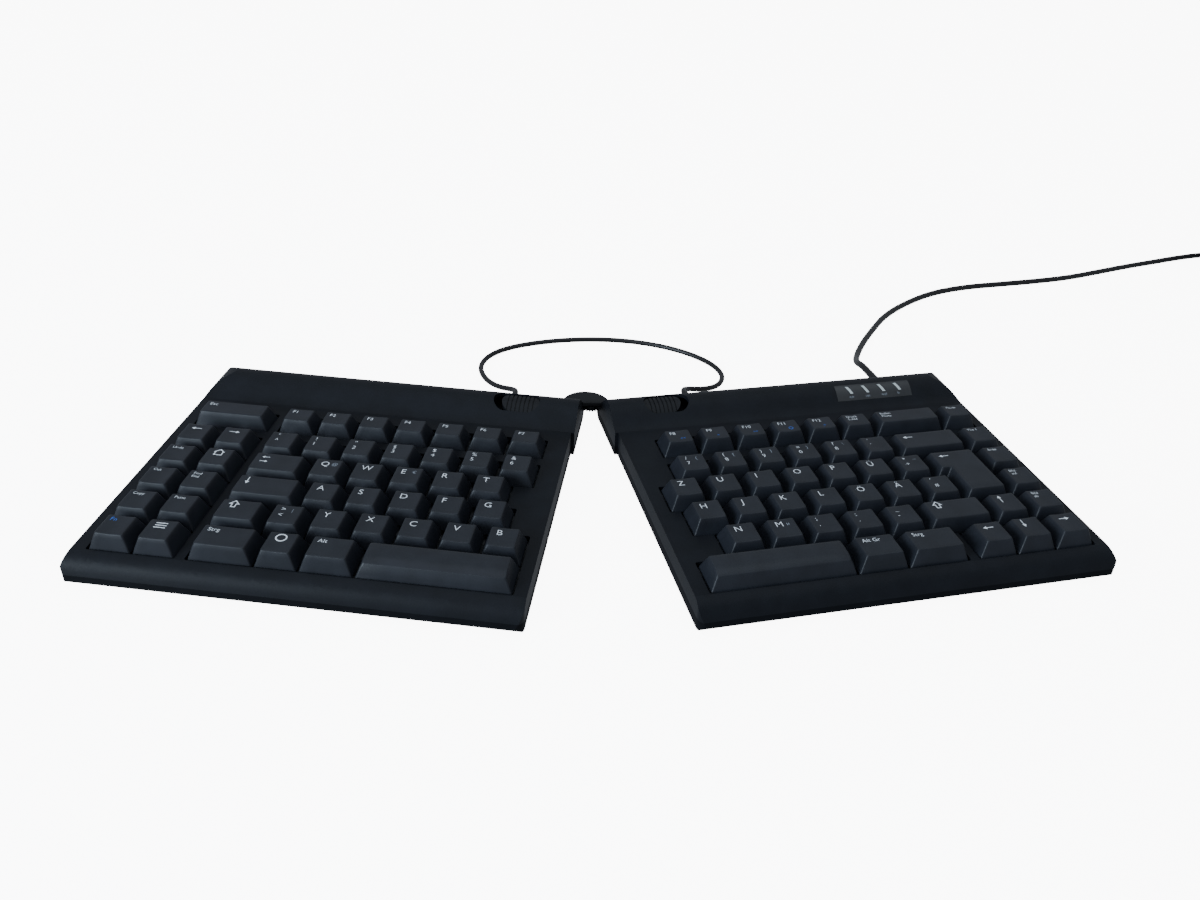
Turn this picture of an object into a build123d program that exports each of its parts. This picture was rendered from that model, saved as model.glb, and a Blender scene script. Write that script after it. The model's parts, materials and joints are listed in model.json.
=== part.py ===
"""Ergonomic split keyboard: two modules joined at the rear by a tether hinge, with a link cable and a USB cord.

Millimetres. Each module is drawn square to its own axes with the hinge axis at its origin and the rim of its
floor at zero height, then turned out by half the splay. The left case mirrors the right one.
"""
import math
import os

from build123d import *

# Whole keyboard
UNIT = 19.0                  # key pitch
SPLAY = 20.0                 # angle between the modules as set down
MODULE_WIDTH = 195.5
SIDE_PLANE = 5.3             # hinge axis to a module's inner side
HUMP_PLANE = 3.7             # hinge axis to the end of a hump, which stands out a little further
FOOT_HEIGHT = 1.2
CUT = 1.0                    # overrun of every cutter

# Case outline, rearwards and upwards from the hinge axis and the rim
DECK_HEIGHT = 13.0
HUMP_HEIGHT = 21.5
FRONT_EDGE = 175.3           # hinge axis forward to the foremost edge
FRONT_EDGE_HEIGHT = 2.5
FRONT_SLOPE = 8.7            # depth of the rounded front below the deck's edge
FRONT_TUCK = 2.3
CREASE = 38.5                # hinge axis forward to the crease of deck and hump
APEX = 22.0
HUMP_SHOULDER = 12.0
HUMP_SHOULDER_DROP = 5.0
REAR_EDGE = 2.0
REAR_EDGE_HEIGHT = 3.0
REAR_TOP_HEIGHT = 7.5
REAR_TUCK = 4.0
SLOPE_SHARE = 0.4            # how far an inner slope moves sideways for each bit of inset
SIDE_ROUND_WIDTH = 18.0      # quarter ellipse of the outer side
SIDE_ROUND_START = 3.0
SIDE_ROUND_ABOVE = 0.3       # the ellipse rises past the hump's top, so that they meet in an edge
OUTER_CORNER = 4.5
WALL = 2.0
PARTING = 5.0

# Keys
KEY_GAP = 1.0
WELL_GAP = 0.8
WELL_CORNER = 1.0
KEY_ROW_FRONT = 165.4        # hinge axis forward to the front of the first key row
FUNCTION_ROW_FRONT = 64.4
FUNCTION_DEPTH = 15.4
KEY_TOP_HEIGHT = 20.0
SKIRT_HEIGHT = 12.0
CROWN_SIDE_INSET = 3.0
CROWN_FRONT_INSET = 2.4
CROWN_REAR_INSET = 2.8
SKIRT_CORNER = 1.0
CROWN_CORNER = 1.4
CAP_WALL = 1.2
STEM = 5.8
STEM_GAP = 0.2
LEFT_INNER_MARGIN = 6.25     # inner side to the nearest key base
RIGHT_INNER_MARGIN = 7.4
LEFT_INNER_COLUMN = 7.25     # column at which the left key field ends, in units
RIGHT_INNER_COLUMN = 6.5     # column at which the right key field starts, in units
CELL_JOIN = 0.2              # columns nearer than this, in units, share one well

# Key sensing stack
MEMBRANE_BASE = 3.8
MEMBRANE = 0.4
DOME_SHEET = 0.5
DOME_RADIUS = 3.75
DOME_TOP_RADIUS = 1.7
STEM_REST_GAP = 0.1
STEM_BASE = 7.8
PLATE_BASE = 6.8
PLATE = 1.5
PLATE_RIM = 1.2
PLATE_SIDE_GAP = 0.6
PLATE_FRONT = 165.9
PLATE_REAR = 46.5
RIB = 1.4

# Screws and feet
SCREW_COLUMNS_FRONT = (16.0, 104.0, 191.0)
SCREW_COLUMNS_REAR = (66.0, 104.0, 190.0)
SCREW_FRONT = 169.4
SCREW_REAR = 12.0
SCREW_HEAD_RADIUS = 2.6
SCREW_HEAD = 2.0
SCREW_HEAD_SUNK = 0.6
SCREW_RADIUS = 1.45
SCREW_TOP = 9.0
SCREW_GAP = 0.05
SHANK_CLEARANCE = 0.25
HEAD_CLEARANCE = 0.3
BOSS_RADIUS = 3.2
POST_RADIUS = 2.5
FOOT_RADIUS = 6.5
FOOT_SEAT = 0.6
FOOT_COLUMNS = (26.0, 104.0, 180.0)
FOOT_FRONT = 158.0
FOOT_REAR = 14.0

# Release sliders
RECESS_LENGTH = 24.0
RECESS_WIDTH = 12.5
RECESS_COLUMN_LEFT = 35.7    # hinge axis outward to the recess's centre
RECESS_COLUMN_RIGHT = 34.0
RECESS_FORWARD = 24.7
BUTTON_LENGTH = 19.6
BUTTON_WIDTH = 11.7
BUTTON_SUNK = 0.7
SLIDE_TRAVEL = 4.0
SLIDE_REST_GAP = 0.1
GRIP_GROOVES = 7
GRIP_GROOVE_WIDTH = 0.6
GRIP_GROOVE_DEPTH = 0.5
TRAY_TOP = 13.4
TRAY = 1.4
TRAY_LENGTH = 32.0
TRAY_FRONT = 31.6
TRAY_REAR = 17.0
TRAY_RAIL_GAP = 0.2
HOOK_LENGTH = 3.0
HOOK_REAR = 13.0
HOOK_BELOW_ARM = 0.3

# Tether
CAP_BASE = 9.7
CAP = 2.0
CAP_RADIUS = 13.0
CAP_OFFSET = 3.0             # the cap's centre lies left of the hinge axis
CAP_FRONT = 4.5
CAP_ROUND = 1.2
CAP_GAP = 0.3
NOTCH_FORWARD = 8.0
KNUCKLE_RADIUS = 5.5
KNUCKLE_GAP = 0.5
KNUCKLE_TEETH = 22
TOOTH_WIDTH = 0.8
TOOTH_DEPTH = 0.9
LEFT_ARM_BASE = 6.6
ARM = 1.3
ARM_STEP = 0.1
ARM_WIDTH = 5.0
ARM_GAP = 0.3
ARM_END_MARGIN = 4.0
SCOOP_FLOOR = 5.2
PIN_RADIUS = 2.0
PIN_GAP = 0.05
PIN_HEAD_RADIUS = 3.2
PIN_HEAD = 0.8

# Indicators and controller
WINDOW_START = 128.0         # hinge axis outward to the window's inner end
WINDOW_LENGTH = 43.5
WINDOW_FRONT = 32.7
WINDOW_DEPTH = 8.2
WINDOW_SKIN = 1.2
WINDOW_GAP = 0.1
LIGHT_COUNT = 4
LIGHT_START = 7.0            # window's inner end to the first light
LIGHT_PITCH = 9.4
LIGHT_WIDTH = 1.6
LIGHT_FRONT_INSET = 3.0
LIGHT_REAR_INSET = 1.5
BOARD_START = 114.0
BOARD_LENGTH = 66.0
BOARD_FRONT = 40.0
BOARD_REAR = 18.0
BOARD_BASE = 6.0
BOARD = 1.6
CHIP = 10.0
CHIP_HEIGHT = 1.2
STANDOFF_RADIUS = 2.2
STANDOFF_INSET = 3.5

# Cords
CABLE_RADIUS = 1.5
CORD_RADIUS = 1.9
EXIT_HEIGHT = 7.5
GLAND_LEFT = 42.0            # hinge axis outward to each exit
GLAND_RIGHT = 54.0
CORD_EXIT = 168.0
GLAND_RADIUS = 2.1
GLAND_INSIDE = 7.0
GLAND_END = 3.0
GLAND_FLANGE_RADIUS = 2.45
GLAND_FLANGE = 1.0
GLAND_SEAT_GAP = 0.1
RELIEF_RADIUS = 2.2
RELIEF_END = 14.0
ARC_SHARE = 0.45
EXIT_LEAD = 5.0              # straight cord behind each exit
# Link cable on the desk, from the left gland to the right one: right, back and up from the hinge axis
CABLE_ROUTE = (
    (-43.0, 21.0, 5.4), (-48.8, 26.6, 3.2), (-54.8, 35.0, 1.2), (-59.6, 45.0, 0.4), (-61.8, 57.0, 0.3),
    (-57.6, 69.8, 0.3), (-46.6, 80.4, 0.3), (-28.0, 88.2, 0.3), (-5.0, 92.8, 0.3), (20.0, 92.8, 0.3),
    (43.0, 87.2, 0.3), (62.4, 76.4, 0.3), (75.6, 62.6, 0.3), (80.2, 49.0, 0.3), (77.6, 38.6, 0.5),
    (72.0, 31.6, 1.2), (64.2, 27.0, 2.6), (55.4, 23.6, 4.8),
)
# USB cord on the desk, from the strain relief to the coil
CORD_ROUTE = (
    (161.8, 54.6, 5.5), (163.0, 62.0, 3.2), (165.6, 70.0, 1.6), (169.4, 79.0, 0.9), (176.6, 93.0, 0.7),
    (187.8, 111.0, 0.7), (200.4, 130.0, 0.7), (218.5, 148.5, 0.7), (243.5, 167.5, 0.7), (271.5, 179.0, 0.7),
    (299.5, 185.0, 0.7), (328.0, 191.0, 0.7), (356.5, 198.6, 0.7), (384.5, 210.0, 0.7), (412.0, 221.5, 0.7),
    (438.0, 231.0, 0.7), (458.0, 237.2, 1.5), (477.0, 242.0, 2.1), (496.0, 245.6, 2.1),
)
COIL_LAYERS = 4
COIL_TURNS_PER_LAYER = 2.25
COIL_MEAN_RADIUS = 22.5
COIL_PITCH = 4.4             # from one turn to the next, sideways and upwards
COIL_TAIL_OUT_SHARE = 1.15   # the tail lies this share of a pitch outside the outer turn
COIL_GROOVE_GAP = 0.3
PLUG_LENGTH = 24.0
PLUG_WIDTH = 15.7
PLUG_HEIGHT = 8.0
PLUG_CORNER = 1.5
PLUG_TAIL = 14.0
SHELL_LENGTH = 18.8
SHELL_WIDTH = 12.0
SHELL_HEIGHT = 4.5
SHELL_WALL = 0.35
SHELL_TONGUE = 1.9
SHELL_CORNER = 0.5
TIE_WIDTH = 9.0
TIE_THICKNESS = 1.0
TIE_GAP = 0.4

# Worked out from the above
OUTER_SIDE = SIDE_PLANE + MODULE_WIDTH
SIDES = {"left": -1, "right": 1}
COLUMN_ZERO = {
    "left": -SIDE_PLANE - LEFT_INNER_MARGIN + KEY_GAP - LEFT_INNER_COLUMN * UNIT,
    "right": SIDE_PLANE + RIGHT_INNER_MARGIN - RIGHT_INNER_COLUMN * UNIT,
}
FUNCTION = 5
nodes = {}


def keys_from(first, count, row):
    """Single-width keys side by side: column, row and width, in units."""
    return [(first + step, row, 1) for step in range(count)]


# Key groups: column, row and width in units, counted from the column and the row nearest the user
KEYS = {
    "left": {
        "hot_keys": [key for row in range(FUNCTION) for key in keys_from(-2.25, 2, row)],
        "esc_key": [(-2.25, FUNCTION, 2)],
        "function_keys_left": keys_from(0, 7, FUNCTION),
        "number_keys_left": keys_from(0, 7, 4),
        "tab_key": [(0, 3, 1.5)],
        "top_letter_keys_left": keys_from(1.5, 5, 3),
        "caps_lock_key": [(0, 2, 1.75)],
        "home_letter_keys_left": keys_from(1.75, 5, 2),
        "shift_key_left": [(0, 1, 1.25)],
        "bottom_letter_keys_left": keys_from(1.25, 6, 1),
        "control_key_left": [(0, 0, 1.5)],
        "menu_key": [(1.5, 0, 1)],
        "alt_key": [(2.5, 0, 1.25)],
        "space_key_left": [(3.75, 0, 3.5)],
    },
    "right": {
        "function_keys_right": keys_from(7, 6, FUNCTION),
        "wide_top_key": [(13, FUNCTION, 2)],
        "navigation_keys": [(15, row, 1) for row in range(1, FUNCTION + 1)],
        "number_keys_right": keys_from(7, 6, 4),
        "backspace_key": [(13, 4, 2)],
        "top_letter_keys_right": keys_from(6.5, 7, 3),
        "enter_key": [(13.5, 3, 1.5), (13.75, 2, 1.25)],
        "home_letter_keys_right": keys_from(6.75, 7, 2),
        "bottom_letter_keys_right": keys_from(7.25, 5, 1),
        "shift_key_right": [(12.25, 1, 1.75)],
        "arrow_keys": [(14, 1, 1)] + keys_from(13, 3, 0),
        "alt_graph_key": [(10, 0, 1.25)],
        "control_key_right": [(11.25, 0, 1.5)],
        "space_key_right": [(6.5, 0, 3.5)],
    },
}


def block_between(x0, x1, y0, y1, z0, z1):
    """Box between two corners."""
    return Pos((x0 + x1) / 2, (y0 + y1) / 2, (z0 + z1) / 2) * Box(abs(x1 - x0), abs(y1 - y0), abs(z1 - z0))


def rod(radius, x, y, z0, z1):
    """Upright cylinder."""
    return Pos(x, y, (z0 + z1) / 2) * Cylinder(radius, z1 - z0)


def side_profile(inset):
    """Outline across the keyboard from front to rear, moved inwards: rounded front, deck, hump and rear face."""
    front_foot = (-FRONT_EDGE + FRONT_TUCK + inset / 2, inset)
    front_edge = (-FRONT_EDGE + inset, FRONT_EDGE_HEIGHT)
    deck_front = (-FRONT_EDGE + FRONT_SLOPE, DECK_HEIGHT - inset)
    crease = (-CREASE + SLOPE_SHARE * inset, DECK_HEIGHT - inset)
    apex = (-APEX, HUMP_HEIGHT - inset)
    shoulder = (-HUMP_SHOULDER - SLOPE_SHARE * inset, HUMP_HEIGHT - HUMP_SHOULDER_DROP - inset)
    rear_top = (REAR_EDGE / 2 - inset, REAR_TOP_HEIGHT - inset / 2)
    rear_edge = (REAR_EDGE - inset, REAR_EDGE_HEIGHT)
    rear_foot = (REAR_EDGE - REAR_TUCK, inset)
    outline = [
        Line(front_foot, front_edge),
        Spline(front_edge, deck_front, tangents=[(0.25, 1), (1, 0.18)]),
        Line(deck_front, crease),
        Spline(crease, apex, tangents=[(1, 0.25), (1, 0)]),
        Spline(apex, shoulder, rear_top, tangents=[(1, 0), (1, -0.75)]),
        Line(rear_top, rear_edge),
        Line(rear_edge, rear_foot),
        Line(rear_foot, front_foot),
    ]
    return make_face(Curve() + outline)


def end_profile(inset):
    """Outline seen from the front: upright inner side and a quarter ellipse as the outer side."""
    centre = (OUTER_SIDE - SIDE_ROUND_WIDTH, SIDE_ROUND_START)
    width = SIDE_ROUND_WIDTH - inset
    height = HUMP_HEIGHT + SIDE_ROUND_ABOVE - SIDE_ROUND_START - inset
    top = (centre[0], centre[1] + height)
    side = (centre[0] + width, centre[1])
    outline = [
        EllipticalCenterArc(centre, width, height, arc_size=90),
        Line(top, (0, top[1])),
        Line((0, top[1]), (0, -CUT)),
        Line((0, -CUT), (side[0], -CUT)),
        Line((side[0], -CUT), side),
    ]
    return make_face(Curve() + outline)


def block(inset):
    """Module body of the right side, solid, with its surface moved inwards by the inset."""
    along = extrude(Plane.YZ * side_profile(inset), amount=OUTER_SIDE + CUT)
    across = extrude(Plane.XZ * end_profile(inset), amount=FRONT_EDGE + CUT, both=True)
    middle = ((SIDE_PLANE + OUTER_SIDE) / 2, (REAR_EDGE - FRONT_EDGE) / 2)
    size = (MODULE_WIDTH - 2 * inset, FRONT_EDGE + REAR_EDGE - 2 * inset)
    corner = OUTER_CORNER - inset if inset < OUTER_CORNER else CUT
    plan = extrude(Pos(*middle) * RectangleRounded(*size, corner), amount=HUMP_HEIGHT + CUT)
    if not inset:
        plan += block_between(HUMP_PLANE, SIDE_PLANE + OUTER_CORNER, -CREASE, REAR_EDGE, 0, HUMP_HEIGHT + CUT)
    return along & across & plan


def key_base(side, key):
    """Middle, width and depth of a key's base, from its column, row and width."""
    column, row, units = key
    depth = FUNCTION_DEPTH if row == FUNCTION else UNIT - KEY_GAP
    front = -FUNCTION_ROW_FRONT if row == FUNCTION else row * UNIT - KEY_ROW_FRONT
    width = units * UNIT - KEY_GAP
    start = COLUMN_ZERO[side] + column * UNIT
    return start + width / 2, front + depth / 2, width, depth


def keycap(width, depth):
    """Hollow tapered cap with its stem, on its own middle."""
    crown_width = width - 2 * CROWN_SIDE_INSET
    crown_depth = depth - CROWN_FRONT_INSET - CROWN_REAR_INSET
    lean = (CROWN_FRONT_INSET - CROWN_REAR_INSET) / 2
    outer = loft(Sketch() + [
        Pos(0, 0, SKIRT_HEIGHT) * RectangleRounded(width, depth, SKIRT_CORNER),
        Pos(0, lean, KEY_TOP_HEIGHT) * RectangleRounded(crown_width, crown_depth, CROWN_CORNER),
    ])
    ceiling = KEY_TOP_HEIGHT - CAP_WALL
    inner = loft(Sketch() + [
        Pos(0, 0, SKIRT_HEIGHT) * Rectangle(width - 2 * CAP_WALL, depth - 2 * CAP_WALL),
        Pos(0, lean, ceiling) * Rectangle(crown_width - 2 * CAP_WALL, crown_depth - 2 * CAP_WALL),
    ])
    stem = block_between(-STEM / 2, STEM / 2, -STEM / 2, STEM / 2, STEM_BASE, ceiling + CAP_WALL / 2)
    return outer - inner + stem


def enter_key(side, upper, lower):
    """L-shaped cap over two rows, its wide part at the rear."""
    x, y, width, depth = key_base(side, upper)
    x_low, y_low, width_low, depth_low = key_base(side, lower)
    tall_depth = depth + UNIT
    tall_y = (y + depth / 2) - tall_depth / 2
    lean = (CROWN_FRONT_INSET - CROWN_REAR_INSET) / 2
    ceiling = KEY_TOP_HEIGHT - CAP_WALL

    def taper(wide, deep, wall, top):
        return loft(Sketch() + [
            Pos(0, 0, SKIRT_HEIGHT) * Rectangle(wide - 2 * wall, deep - 2 * wall),
            Pos(0, lean, top) * Rectangle(
                wide - 2 * CROWN_SIDE_INSET - 2 * wall,
                deep - CROWN_FRONT_INSET - CROWN_REAR_INSET - 2 * wall,
            ),
        ])

    places = ((x, y, width, depth), (x_low, tall_y, width_low, tall_depth))
    outer = [Pos(px, py) * taper(w, d, 0, KEY_TOP_HEIGHT) for px, py, w, d in places]
    inner = [Pos(px, py) * taper(w, d, CAP_WALL, ceiling) for px, py, w, d in places]
    stem = block_between(-STEM / 2, STEM / 2, -STEM / 2, STEM / 2, STEM_BASE, ceiling + CAP_WALL / 2)
    return outer[0] + outer[1] - inner[0] - inner[1] + Pos(x_low, y_low) * stem


def all_keys(side):
    return [key for group in KEYS[side].values() for key in group]


def stems(side):
    """Middle of each key's stem; the L-shaped key has one, under its front part."""
    keys = [key for key in all_keys(side) if key != KEYS["right"]["enter_key"][0]]
    return [key_base(side, key)[:2] for key in keys]


def wells(side):
    """Openings of the deck: one rectangle for each run of keys in a row, and one across joined rows."""
    shape = None
    for row in range(FUNCTION + 1):
        runs = []
        for column, _, units in sorted(key for key in all_keys(side) if key[1] == row):
            if runs and column - runs[-1][1] < CELL_JOIN:
                runs[-1][1] = column + units
            else:
                runs.append([column, column + units])
        for start, end in runs:
            x, y, width, depth = key_base(side, (start, row, end - start))
            rear = UNIT if row < FUNCTION - 1 else depth
            cutter = block_between(
                x - width / 2 - WELL_GAP, x + width / 2 + WELL_GAP,
                y - depth / 2 - WELL_GAP, y - depth / 2 + rear + WELL_GAP,
                DECK_HEIGHT - WALL - CUT, HUMP_HEIGHT,
            )
            cutter = fillet(cutter.edges().filter_by(Axis.Z), WELL_CORNER)
            shape = cutter if shape is None else shape + cutter
    return shape


def screw_places():
    front = [(x, -SCREW_FRONT) for x in SCREW_COLUMNS_FRONT]
    return front + [(x, -SCREW_REAR) for x in SCREW_COLUMNS_REAR]


def recess_centre(side):
    return RECESS_COLUMN_LEFT if side == "left" else RECESS_COLUMN_RIGHT


def arm_heights(side):
    base = LEFT_ARM_BASE if side == "left" else LEFT_ARM_BASE + ARM + ARM_STEP
    return base, base + ARM


def hook_place(side):
    """Inner end of the slider's hook, outward from the hinge axis."""
    return recess_centre(side) - TRAY_LENGTH / 2


def arm_strip(side, margin, z0, z1):
    """Straight arm from the hinge to the hook, in right-hand sense, widened by the margin."""
    end = (hook_place(side) + HOOK_LENGTH + margin, -(TRAY_REAR + HOOK_REAR) / 2)
    length = math.hypot(*end)
    angle = math.degrees(math.atan2(end[1], end[0]))
    strip = block_between(0, length, -ARM_WIDTH / 2 - margin, ARM_WIDTH / 2 + margin, z0, z1)
    return Rot(0, 0, angle) * strip


def tether_cap_plan(gap):
    """D-shaped outline of the tether's cap, in the keyboard's own axes."""
    disc = Pos(-CAP_OFFSET, -CAP_FRONT) * Circle(CAP_RADIUS + gap)
    front = Pos(-CAP_OFFSET, -CAP_FRONT - gap + CAP_RADIUS) * Rectangle(4 * CAP_RADIUS, 2 * CAP_RADIUS)
    return disc & front


def window_box(side_gap, z0=0.0, z1=HUMP_HEIGHT + CUT):
    return block_between(
        WINDOW_START - side_gap, WINDOW_START + WINDOW_LENGTH + side_gap,
        -WINDOW_FRONT - side_gap, -WINDOW_FRONT + WINDOW_DEPTH + side_gap, z0, z1,
    )


def light_columns():
    starts = [WINDOW_START + LIGHT_START + step * LIGHT_PITCH for step in range(LIGHT_COUNT)]
    return [start + LIGHT_WIDTH / 2 for start in starts]


def light_box(x, gap, z0, z1):
    return block_between(
        x - LIGHT_WIDTH / 2 - gap, x + LIGHT_WIDTH / 2 + gap,
        -WINDOW_FRONT + LIGHT_FRONT_INSET - gap, -WINDOW_FRONT + WINDOW_DEPTH - LIGHT_REAR_INSET + gap, z0, z1,
    )


def gland_axis(x, radius, y0, y1):
    return Pos(x, (y0 + y1) / 2, EXIT_HEIGHT) * Rot(90, 0, 0) * Cylinder(radius, y1 - y0)


def exits(side):
    """Cord exits of one module: place outward and radius of the hole."""
    if side == "left":
        return [(GLAND_LEFT, GLAND_RADIUS)]
    return [(GLAND_RIGHT, GLAND_RADIUS), (CORD_EXIT, RELIEF_RADIUS)]


def button_slot(side, length, width, z0, z1):
    centre = (recess_centre(side), -RECESS_FORWARD, z0)
    return extrude(Pos(*centre) * SlotOverall(length, width), amount=z1 - z0)


def cases(side):
    """Top and bottom case of one module, in right-hand sense but for the wells, which follow the keys."""
    outer = block(0)
    shell = outer - block(WALL)
    high = HUMP_HEIGHT + CUT
    far = 2 * OUTER_SIDE
    upper = shell & block_between(0, far, -far, far, PARTING, high)
    lower = shell & block_between(0, far, -far, far, -CUT, PARTING)
    ribs = [-PLATE_FRONT + RIB / 2] + [row * UNIT - KEY_ROW_FRONT - KEY_GAP / 2 for row in range(1, FUNCTION)]
    for y in ribs + [-PLATE_REAR - RIB / 2]:
        lower += block_between(
            SIDE_PLANE + WALL, OUTER_SIDE - WALL - RIB, y - RIB / 2, y + RIB / 2, WALL, MEMBRANE_BASE,
        )
    for x, y in screw_places():
        lower += rod(BOSS_RADIUS, x, y, 0, PARTING) & outer
        upper += rod(POST_RADIUS, x, y, PARTING, high) & outer
    for x, y in screw_places():
        lower -= rod(SCREW_HEAD_RADIUS + HEAD_CLEARANCE, x, y, -CUT, SCREW_HEAD_SUNK + SCREW_HEAD)
        lower -= rod(SCREW_RADIUS + SHANK_CLEARANCE, x, y, 0, PARTING + CUT)
        upper -= rod(SCREW_RADIUS + SCREW_GAP, x, y, 0, SCREW_TOP + SCREW_GAP)
    for x in FOOT_COLUMNS:
        for y in (-FOOT_FRONT, -FOOT_REAR):
            lower -= rod(FOOT_RADIUS, x, y, -CUT, FOOT_SEAT)
    rail_top = TRAY_TOP - TRAY - TRAY_RAIL_GAP
    rail_start = hook_place(side) + HOOK_LENGTH + SLIDE_TRAVEL + RIB
    for y in (-TRAY_FRONT + RIB / 2, -TRAY_REAR - RIB / 2):
        lower += block_between(
            rail_start, recess_centre(side) + TRAY_LENGTH / 2, y - RIB / 2, y + RIB / 2, WALL, rail_top,
        )
    arm_base, arm_top = arm_heights(side)
    seat = arm_strip(side, 0, 0, arm_base) & block(WALL)
    lower += seat - block_between(
        hook_place(side) - ARM_GAP, far, -far, far, arm_base - 2 * HOOK_BELOW_ARM, high,
    )
    upper -= button_slot(side, RECESS_LENGTH, RECESS_WIDTH, TRAY_TOP, high)
    upper -= rod(KNUCKLE_RADIUS + KNUCKLE_GAP, 0, 0, SCOOP_FLOOR, high)
    upper -= arm_strip(side, ARM_GAP, arm_base - ARM_GAP, arm_top + ARM_GAP)
    lower -= arm_strip(side, ARM_GAP, arm_base, arm_top + ARM_GAP)
    for x, radius in exits(side):
        upper -= gland_axis(x, radius + GLAND_SEAT_GAP, -2 * GLAND_INSIDE, GLAND_INSIDE)
    if side == "right":
        upper -= window_box(WINDOW_GAP) - block(WINDOW_SKIN)
        for x in light_columns():
            upper -= light_box(x, WINDOW_GAP, DECK_HEIGHT, high)
        for x, y in standoffs():
            lower += rod(STANDOFF_RADIUS, x, y, WALL, BOARD_BASE)
    if side == "left":
        upper = mirror(upper, about=Plane.YZ)
        lower = mirror(lower, about=Plane.YZ)
    return upper - wells(side), lower


def standoffs():
    columns = (BOARD_START + STANDOFF_INSET, BOARD_START + BOARD_LENGTH - STANDOFF_INSET)
    rows = (-BOARD_FRONT + STANDOFF_INSET, -BOARD_REAR - STANDOFF_INSET)
    return [(x, y) for x in columns for y in rows]


def stack(side):
    """Membrane, dome sheet and guide plate of one module."""
    start = SIDE_PLANE + WALL + PLATE_SIDE_GAP
    end = OUTER_SIDE - WALL - RIB - PLATE_SIDE_GAP
    dome_base = MEMBRANE_BASE + MEMBRANE
    dome_deck = dome_base + DOME_SHEET
    membrane = block_between(start, end, -PLATE_FRONT, -PLATE_REAR, MEMBRANE_BASE, dome_base)
    sheet = block_between(start, end, -PLATE_FRONT, -PLATE_REAR, dome_base, dome_deck)
    plate = block_between(start, end, -PLATE_FRONT, -PLATE_REAR, dome_deck, PLATE_BASE + PLATE)
    plate -= block_between(
        start + PLATE_RIM, end - PLATE_RIM, -PLATE_FRONT + PLATE_RIM, -PLATE_REAR - PLATE_RIM,
        dome_deck - CUT, PLATE_BASE,
    )
    if side == "left":
        membrane, sheet, plate = [mirror(piece, about=Plane.YZ) for piece in (membrane, sheet, plate)]
    dome = Cone(DOME_RADIUS, DOME_TOP_RADIUS, STEM_BASE - STEM_REST_GAP - dome_deck)
    hole = STEM + 2 * STEM_GAP
    places = stems(side)
    lift = (STEM_BASE - STEM_REST_GAP + dome_deck) / 2
    sheet += [Pos(x, y, lift) * dome for x, y in places]
    plate -= [Pos(x, y, PLATE_BASE) * Box(hole, hole, 2 * PLATE + CUT) for x, y in places]
    return membrane, sheet, plate


def release_slider(side):
    """Ribbed button on its tray, with the hook that holds the tether's arm."""
    x = recess_centre(side)
    inner = hook_place(side)
    start = x - (RECESS_LENGTH - BUTTON_LENGTH) / 2 + SLIDE_REST_GAP
    plan = Pos(start, -RECESS_FORWARD, TRAY_TOP) * SlotOverall(BUTTON_LENGTH, BUTTON_WIDTH)
    button = extrude(plan, amount=HUMP_HEIGHT)
    button &= block(BUTTON_SUNK)
    grooved = block(BUTTON_SUNK + GRIP_GROOVE_DEPTH)
    pitch = BUTTON_LENGTH / (GRIP_GROOVES + 2)
    for step in range(GRIP_GROOVES):
        middle = start + (step - (GRIP_GROOVES - 1) / 2) * pitch
        groove = block_between(
            middle - GRIP_GROOVE_WIDTH / 2, middle + GRIP_GROOVE_WIDTH / 2,
            -RECESS_FORWARD - BUTTON_WIDTH, -RECESS_FORWARD + BUTTON_WIDTH, TRAY_TOP + TRAY, 2 * HUMP_HEIGHT,
        )
        button -= groove - grooved
    tray = block_between(inner, x + TRAY_LENGTH / 2, -TRAY_FRONT, -TRAY_REAR, TRAY_TOP - TRAY, TRAY_TOP)
    finger = block_between(inner, inner + HOOK_LENGTH, -TRAY_REAR - CUT, -HOOK_REAR, TRAY_TOP - TRAY, TRAY_TOP)
    hook = block_between(
        inner, inner + HOOK_LENGTH, -TRAY_REAR + HOOK_BELOW_ARM, -HOOK_REAR,
        arm_heights(side)[0] - HOOK_BELOW_ARM, TRAY_TOP,
    )
    slider = button + tray + finger + hook
    return mirror(slider, about=Plane.YZ) if side == "left" else slider


def tether_arm(side):
    """Toothed knuckle with its arm, which the slider's hook holds at an open notch."""
    base, top = arm_heights(side)
    arm = rod(KNUCKLE_RADIUS, 0, 0, base, top)
    for step in range(KNUCKLE_TEETH):
        angle = 2 * math.pi * step / KNUCKLE_TEETH
        gap = Pos(KNUCKLE_RADIUS * math.cos(angle), KNUCKLE_RADIUS * math.sin(angle), (base + top) / 2)
        arm -= gap * Rot(0, 0, math.degrees(angle)) * Box(2 * TOOTH_DEPTH, TOOTH_WIDTH, ARM + CUT)
    arm += arm_strip(side, 0, base, top)
    hook = hook_place(side)
    arm += block_between(
        hook - ARM_END_MARGIN, hook + HOOK_LENGTH, -TRAY_REAR - ARM_END_MARGIN / 2,
        -HOOK_REAR + ARM_END_MARGIN / 2, base, top,
    )
    arm -= block_between(
        hook - ARM_GAP, hook + 2 * TRAY_LENGTH, -TRAY_REAR, -HOOK_REAR + ARM_GAP, base - CUT, top + CUT,
    )
    arm -= rod(PIN_RADIUS + PIN_GAP, 0, 0, base - CUT, top + CUT)
    return mirror(arm, about=Plane.YZ) if side == "left" else arm


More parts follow.
